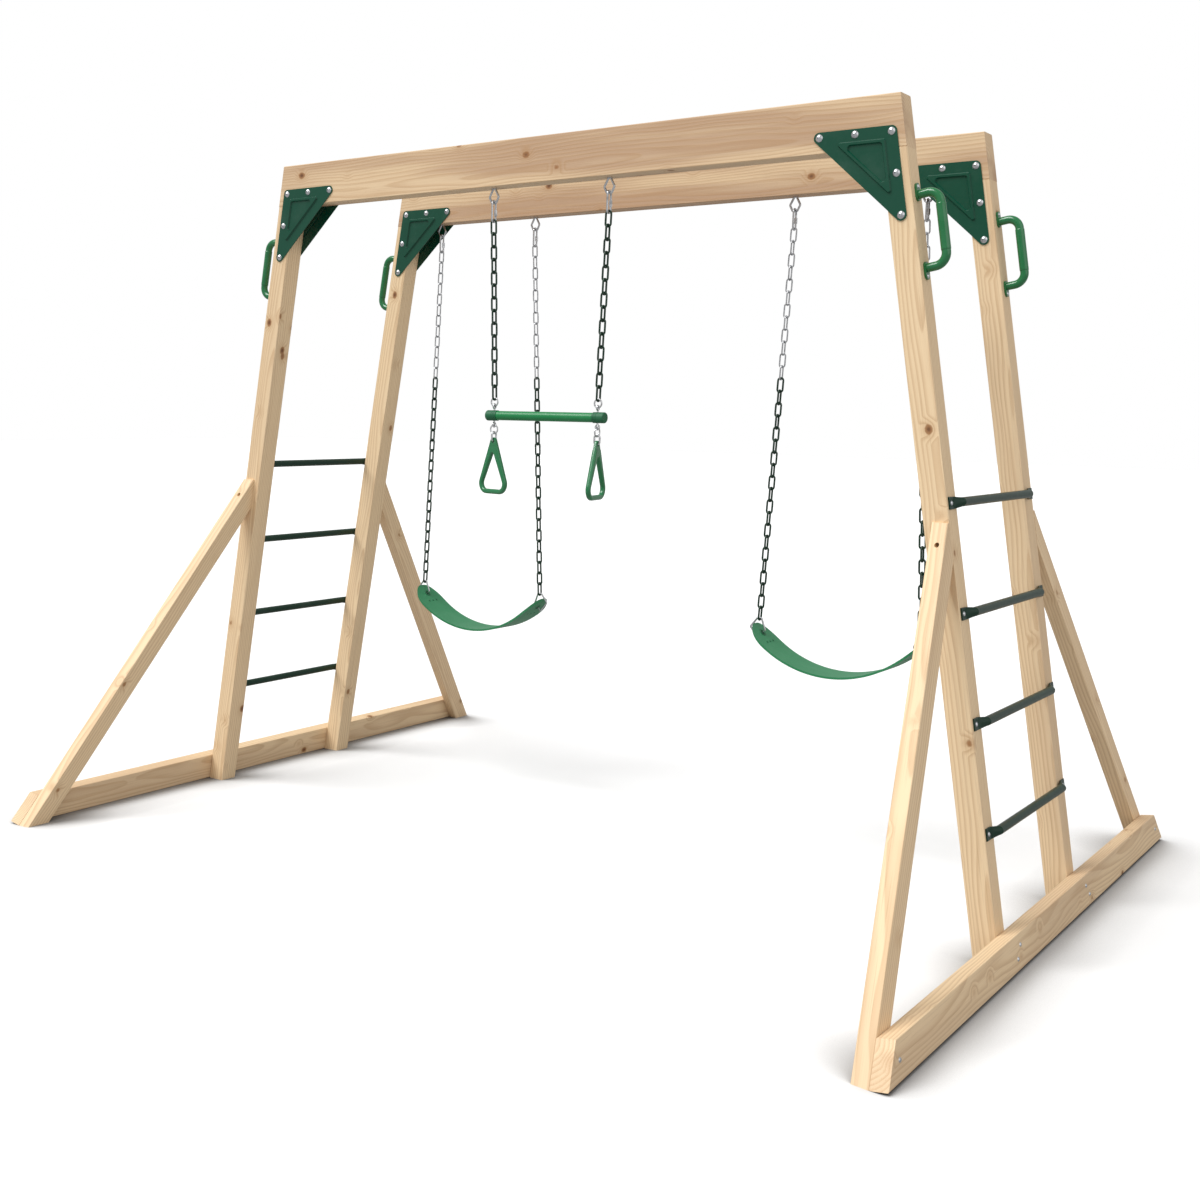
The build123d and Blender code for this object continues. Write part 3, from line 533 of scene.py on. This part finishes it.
BELT_THICK = 0.007
BELT_HOLE_INSET = 0.026  # from the belt's tip to its hole, along X
EYELET_INNER = 0.0081
EYELET_OUTER = 0.0135
RIM_RISE = 0.0012
RIM_INNER_RISE = 0.00048  # lower at the hole's edge
RIM_INNER_BEVEL = 0.0008
RIM_OUTER_BEVEL = 0.0012
RIVET_ROW = 0.040  # from the hole to the row of rivets
RIVET_PITCH = 0.022
RIVET_RADIUS = 0.0042
RIVET_HEAD = (  # share of the radius, and height over the belt
    (0.0, 0.0018),
    (0.45, 0.0016),
    (0.85, 0.0009),
    (1.0, -0.0002),
)


def eyelet_profile():
    """A closed ring with a rim over each face of the belt, joined through its hole."""
    skin = BELT_THICK / 2
    rim = [
        (EYELET_INNER, -skin - RIM_INNER_RISE),
        (EYELET_INNER + RIM_INNER_BEVEL, -skin - RIM_RISE),
        (EYELET_OUTER - RIM_OUTER_BEVEL, -skin - RIM_RISE),
        (EYELET_OUTER, -skin),
    ]
    return both_faces(rim) + [rim[0]]


def rivet_profile():
    return both_faces([(RIVET_RADIUS * share, BELT_THICK / 2 + rise) for share, rise in RIVET_HEAD])


def belt_fittings(side, made):
    """A rimmed eyelet and a row of rivets at each end of a belt."""
    seat = f"swing_{side}_belt_seat"
    extent = size(seat)
    half, rise = extent.x / 2, extent.z - BELT_THICK
    curve = (half**2 + rise**2) / (2 * rise)
    pole = Vector((middle(seat).x, middle(seat).y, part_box(seat)[0][2] + BELT_THICK / 2 + curve))
    hole_angle = math.asin((half - BELT_HOLE_INSET) / curve)
    rivet_angle = hole_angle - RIVET_ROW / curve
    for end, way in (("outer", -1), ("inner", 1)):
        for angle, label in ((hole_angle, "eyelet"), (rivet_angle, "rivet")):
            axis = Vector((-way * math.sin(angle), 0, math.cos(angle)))
            spot = pole - axis * curve
            if label == "eyelet":
                lathe(f"belt_{side}_{end}_eyelet", eyelet_profile(), spot, axis, made,
                      f"swing_{side}_seat")
                continue
            for count in (-1, 0, 1):
                place = spot + Vector((0, count * RIVET_PITCH, 0))
                lathe(f"belt_{side}_{end}_rivet_{count + 2}", rivet_profile(), place, axis, made,
                      f"swing_{side}_seat")


GRIP_STANDOFF = 0.060  # face of the post to the middle of the grip
GRIP_RADIUS = 0.012
SLEEVE_HALF = 0.062
SLEEVE_RISE = 0.0009
SLEEVE_SUNK = 0.0004  # its ends go this far into the grip
SLEEVE_BEVEL = 0.0012
RIB_COUNT = 30
RIB_PITCH = 0.004
RIB_RISE = 0.0001


def sleeve_profile():
    low = GRIP_RADIUS - SLEEVE_SUNK
    high = GRIP_RADIUS + SLEEVE_RISE
    profile = [(low, -SLEEVE_HALF), (high, -SLEEVE_HALF + SLEEVE_BEVEL)]
    for step in range(RIB_COUNT):
        profile.append((high + RIB_RISE * (step % 2), -SLEEVE_HALF + RIB_PITCH * (1 + step)))
    return profile + [(high, SLEEVE_HALF - SLEEVE_BEVEL), (low, SLEEVE_HALF)]


def grip_sleeve(row, side, made):
    """The slightly thicker moulded sleeve on a grab handle's grip."""
    node = f"grab_handle_{row}_{side}"
    way = SIDES[side]
    height = middle(node).z
    length = math.hypot(1, LEAN_SLOPE)
    face_x = BEAM_END_X + (BEAM_LOW_Z - height) * LEAN_SLOPE
    outward = Vector((way / length, 0, LEAN_SLOPE / length))
    axis = Vector((-way * LEAN_SLOPE / length, 0, 1 / length))
    centre = Vector((way * face_x, middle(node).y, height)) + outward * GRIP_STANDOFF
    lathe(f"grip_sleeve_{row}_{side}", sleeve_profile(), centre, axis, made, "frame")


def small_pieces(finishes):
    for side in SIDES:
        belt_fittings(side, finishes["green_cap"])
        for row in ROWS:
            grip_sleeve(row, side, finishes["green_handle"])


# ---------------------------------------------------------------- floor
FLOOR_REACH = 40.0
FLOOR_SEEN = grey(0.95)
FLOOR_SHADED = grey(0.10)
FLOOR_BOUNCE = grey(0.36)  # what the floor throws back on the object
FLOOR_ROUGH = 0.9
FLOOR_SPECULAR = 0.1
SHADE_REACH = 0.20  # a piece this near darkens the floor
SHADE_FROM = (-0.78, 0.20, 0.60)  # and it does so from this direction
SHADE_SAMPLES = 12
SHADE_POWER = 1.6


def floor():
    """A pale floor with a soft contact shadow beside whatever stands on it."""
    corners = [(x * FLOOR_REACH, y * FLOOR_REACH, 0.0) for x, y in ((-1, -1), (1, -1), (1, 1), (-1, 1))]
    mesh = bpy.data.meshes.new("studio_floor")
    mesh.from_pydata(corners, [], [(0, 1, 2, 3)])
    ground = bpy.data.objects.new("studio_floor", mesh)
    bpy.context.scene.collection.objects.link(ground)
    made = bpy.data.materials.new("pale_floor")
    made.use_nodes = True
    tree = made.node_tree
    shader = tree.nodes["Principled BSDF"]
    seen = add(tree, "ShaderNodeLightPath").outputs["Is Camera Ray"]
    near = {"Distance": SHADE_REACH, "Normal": SHADE_FROM}
    open_sky = add(tree, "ShaderNodeAmbientOcclusion", near, samples=SHADE_SAMPLES).outputs["AO"]
    pale = mix(tree, maths(tree, "POWER", open_sky, SHADE_POWER), FLOOR_SHADED, FLOOR_SEEN)
    put(tree, shader.inputs["Base Color"], mix(tree, seen, FLOOR_BOUNCE, pale))
    shader.inputs["Roughness"].default_value = FLOOR_ROUGH
    shader.inputs["Specular IOR Level"].default_value = FLOOR_SPECULAR
    mesh.materials.append(made)


# ---------------------------------------------------------------- light
AMBIENT = 0.52  # how much of the white backdrop's light reaches the object
KEY_LIGHT = {"towards": (0.50, 0.72, -1.15), "strength": 2.75, "spread": 38.0}
SIDE_LIGHT = {"towards": (-0.9, 0.25, -0.45), "strength": 0.55, "spread": 60.0}


def soft_sun(name, towards, strength, spread):
    """A broad light with no falloff, so the floor is as pale far away as it is close by."""
    lamp = bpy.data.lights.new(name, "SUN")
    lamp.energy = strength
    lamp.angle = math.radians(spread)
    made = bpy.data.objects.new(name, lamp)
    bpy.context.scene.collection.objects.link(made)
    made.rotation_euler = Vector(towards).to_track_quat("-Z", "Y").to_euler()


def studio_light():
    """A white backdrop that lights the object less than it shows, and two broad lights."""
    world = bpy.data.worlds.new("studio")
    world.use_nodes = True
    tree = world.node_tree
    seen = add(tree, "ShaderNodeLightPath").outputs["Is Camera Ray"]
    backdrop = tree.nodes["Background"]
    put(tree, backdrop.inputs["Color"], grey(1.0))
    put(tree, backdrop.inputs["Strength"], plus(tree, AMBIENT, times(tree, seen, 1.0 - AMBIENT)))
    bpy.context.scene.world = world
    soft_sun("key", **KEY_LIGHT)
    soft_sun("side", **SIDE_LIGHT)


# ---------------------------------------------------------------- camera
EYE_PLACE = (2.6497, -4.1927, 1.4668)
EYE_TURNED = 38.02  # from looking along +Y towards -X, in degrees
EYE_TILTED = -7.61
EYE_ROLLED = 0.95
LENS = 43.68
SENSOR = 36.0
LENS_SHIFT = 0.125
FAR_CLIP = 200.0


def camera():
    """A standing eye's view from the front right, rolled a little."""
    turned, tilted, rolled = (math.radians(angle) for angle in (EYE_TURNED, EYE_TILTED, EYE_ROLLED))
    ahead = Vector((-math.sin(turned), math.cos(turned), 0.0))
    forward = ahead * math.cos(tilted) + Vector((0.0, 0.0, math.sin(tilted)))
    level_right = Vector((math.cos(turned), math.sin(turned), 0.0))
    level_up = level_right.cross(forward)
    right = level_right * math.cos(rolled) + level_up * math.sin(rolled)
    up = level_up * math.cos(rolled) - level_right * math.sin(rolled)
    lens = bpy.data.cameras.new("camera")
    lens.sensor_width = SENSOR
    lens.lens = LENS
    lens.shift_x = LENS_SHIFT
    lens.clip_end = FAR_CLIP
    made = bpy.data.objects.new("camera", lens)
    bpy.context.scene.collection.objects.link(made)
    turn = Matrix((right, up, -forward)).transposed().to_4x4()
    made.matrix_world = Matrix.Translation(EYE_PLACE) @ turn
    bpy.context.scene.camera = made


FINISHES = make_finishes()
dress_timber()
dress_metal_and_plastic(FINISHES)
small_pieces(FINISHES)
floor()
studio_light()
camera()
bpy.context.scene.view_settings.view_transform = "Standard"
